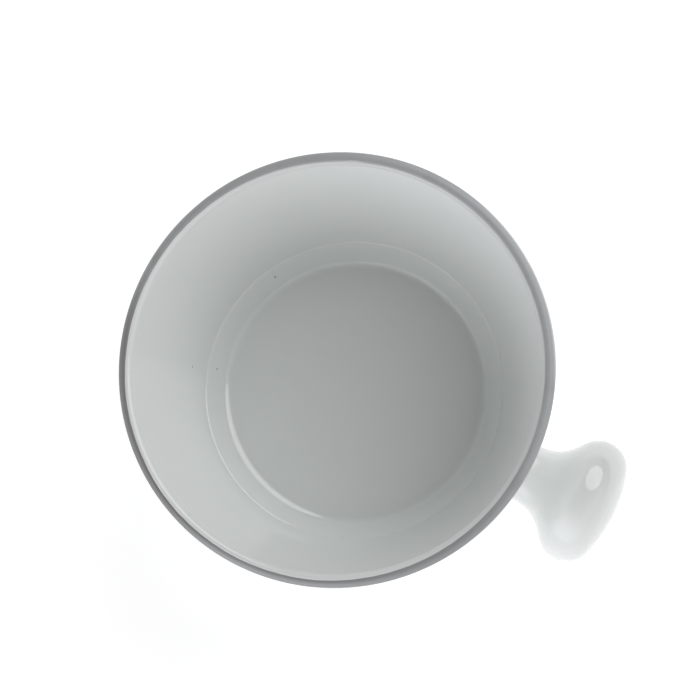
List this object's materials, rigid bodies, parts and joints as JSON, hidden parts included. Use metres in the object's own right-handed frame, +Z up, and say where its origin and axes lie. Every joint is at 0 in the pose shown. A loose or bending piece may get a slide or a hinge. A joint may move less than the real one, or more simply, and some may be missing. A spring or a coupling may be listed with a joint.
{
  "type": "shaving mug",
  "caption": "Round glazed porcelain shaving bowl on a foot ring, with a mushroom-shaped knob handle on one side and a metallic band over the lip.",
  "frame": {"origin": "centre of the foot ring, in the plane that the mug stands on", "axes": "+Z up along the bowl's axis; +X from the bowl's axis towards the knob handle"},
  "size_m": [0.1318, 0.11, 0.058],
  "materials": {
    "bare_porcelain": "matte, fired, unglazed",
    "joining_slip": "matte, fired slip, smoothed by sponge",
    "clear_glaze": "high gloss, clear over white",
    "platinum_lustre": "hand-banded platinum lustre, softly reflective"
  },
  "bodies": {
    "root": {"bowl_body": "bare_porcelain", "knob_handle": "bare_porcelain", "handle_slip_joint": "joining_slip", "inside_glaze": "clear_glaze", "outside_glaze": "clear_glaze", "base_glaze": "clear_glaze", "platinum_rim_band": "platinum_lustre"}
  },
  "joints": []
}
